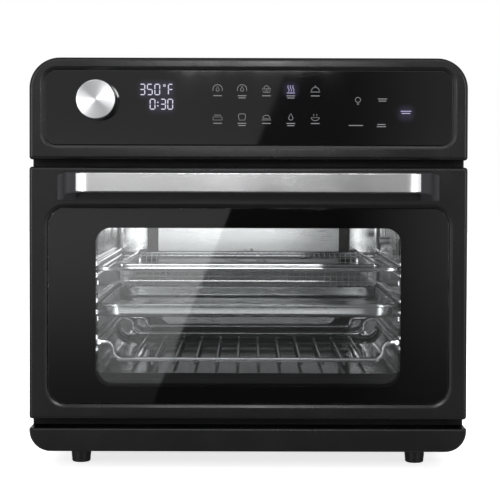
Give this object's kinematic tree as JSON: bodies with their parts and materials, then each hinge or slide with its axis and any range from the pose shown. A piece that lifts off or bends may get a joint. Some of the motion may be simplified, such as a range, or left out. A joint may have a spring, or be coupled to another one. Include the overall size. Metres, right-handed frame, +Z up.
{
  "type": "toaster oven",
  "caption": "Countertop toaster oven with a drop-down glass door, touch panel, selector knob, rack, tray, wire basket, convection fan and steam.",
  "frame": {"origin": "middle of the bounding box's base, on the surface that the feet stand on", "axes": "+Z up, -Y out of the front with the door, +X to the right of a person facing the oven"},
  "size_m": [0.43, 0.444, 0.407],
  "materials": {
    "casing_paint": "satin black powder coat on sheet steel",
    "black_plastic": "fine-grained black moulded plastic, satin",
    "handle_plastic": "dark grey moulded plastic, satin",
    "panel_glass": "back-printed black glass, polished",
    "door_glass": "tempered glass, black border printed on the back",
    "clear_glass": "clear tempered glass",
    "silicone": "matte silicone rubber",
    "cavity_steel": "bright rolled stainless steel",
    "door_sheet": "satin stainless sheet",
    "handle_steel": "stainless steel, brushed along its length",
    "rack_chrome": "bright plated wire",
    "tray_steel": "pressed stainless sheet",
    "zinc_steel": "zinc-plated steel",
    "screw_steel": "plated steel",
    "heater_sheath": "oxidised nickel-alloy sheath",
    "circuit_board": "green solder mask with plastic and metal parts",
    "display_plastic": "black filter over white segments",
    "encoder_metal": "plated metal case",
    "motor_iron": "stacked steel sheets with a copper coil",
    "fan_aluminium": "plain aluminium",
    "lamp_ceramic": "unglazed ceramic holder",
    "pump_plastic": "moulded plastic",
    "tank_plastic": "smoked clear plastic",
    "knob_aluminium": "spun face, fine turned rings, bright edge"
  },
  "bodies": {
    "casing": {"outer_wrap": "casing_paint", "rear_panel": "casing_paint", "base_pan": "black_plastic", "feet": "silicone", "rear_spacers": "black_plastic", "case_screws": "screw_steel", "cord_gland": "black_plastic", "front_frame": "casing_paint", "door_gasket": "silicone", "service_shelf": "zinc_steel", "control_bezel": "black_plastic", "control_glass": "panel_glass", "touch_board": "circuit_board", "display_module": "display_plastic", "encoder": "encoder_metal", "power_board": "circuit_board", "cavity_liner": "cavity_steel", "rack_guide_left": "cavity_steel", "rack_guide_right": "cavity_steel", "fan_chamber": "cavity_steel", "fan_cover": "cavity_steel", "cover_screws": "screw_steel", "top_heater": "heater_sheath", "bottom_heater": "heater_sheath", "ring_heater": "heater_sheath", "fan_motor": "motor_iron", "oven_lamp": "lamp_ceramic", "lamp_lens": "clear_glass", "temperature_probe": "screw_steel", "steam_generator": "fan_aluminium", "water_hose": "silicone", "water_pump": "pump_plastic", "tank_dock": "pump_plastic", "hinge_bracket_left": "zinc_steel", "hinge_bracket_right": "zinc_steel", "hinge_pins": "zinc_steel", "door_springs": "zinc_steel"},
    "door": {"door_frame": "black_plastic", "door_outer_glass": "door_glass", "door_inner_glass": "clear_glass", "door_inner_panel": "door_sheet", "handle_core": "handle_plastic", "handle_trim": "handle_steel", "door_screws": "screw_steel", "hinge_arm_left": "zinc_steel", "hinge_arm_right": "zinc_steel"},
    "rack": {"wire_rack": "rack_chrome"},
    "tray": {"baking_tray": "tray_steel"},
    "basket": {"basket_frame": "rack_chrome", "basket_mesh": "rack_chrome"},
    "selector_knob": {"knob": "knob_aluminium", "knob_cap": "knob_aluminium", "encoder_shaft": "screw_steel"},
    "fan": {"convection_fan": "fan_aluminium", "motor_shaft": "screw_steel", "cooling_blade": "fan_aluminium"},
    "crumb_drip_tray": {"drip_tray": "black_plastic"},
    "tank": {"water_tank": "tank_plastic", "tank_lid": "black_plastic"}
  },
  "joints": [
    {"name": "door_hinge", "type": "hinge", "parent": "casing", "child": "door", "pos_m": [0, -0.169, 0.061], "axis": [1, 0, 0], "range_deg": [0, 90], "stiffness_Nm_per_rad": 0.3, "springref_deg": -114.59},
    {"name": "rack_slide", "type": "slide", "parent": "casing", "child": "rack", "axis": [0, -1, 0], "range_m": [0, 0.126]},
    {"name": "tray_slide", "type": "slide", "parent": "casing", "child": "tray", "axis": [0, -1, 0], "range_m": [0, 0.11]},
    {"name": "basket_slide", "type": "slide", "parent": "casing", "child": "basket", "axis": [0, -1, 0], "range_m": [0, 0.1415]},
    {"name": "knob_turn", "type": "hinge", "parent": "casing", "child": "selector_knob", "pos_m": [-0.1476, -0.181, 0.365], "axis": [0, -1, 0], "continuous": true},
    {"name": "fan_spin", "type": "hinge", "parent": "casing", "child": "fan", "pos_m": [0, 0.159, 0.182], "axis": [0, 1, 0], "continuous": true},
    {"name": "drip_tray_slide", "type": "slide", "parent": "casing", "child": "crumb_drip_tray", "axis": [0, -1, 0], "range_m": [0, 0.06]},
    {"name": "tank_lift", "type": "slide", "parent": "casing", "child": "tank", "axis": [0, 0, 1], "range_m": [0, 0.13]}
  ],
  "couplings": [
    {"joint": "rack_slide", "follows": "door_hinge", "m_per_rad": 0.08},
    {"joint": "tray_slide", "follows": "door_hinge", "m_per_rad": 0.07},
    {"joint": "basket_slide", "follows": "door_hinge", "m_per_rad": 0.09}
  ]
}
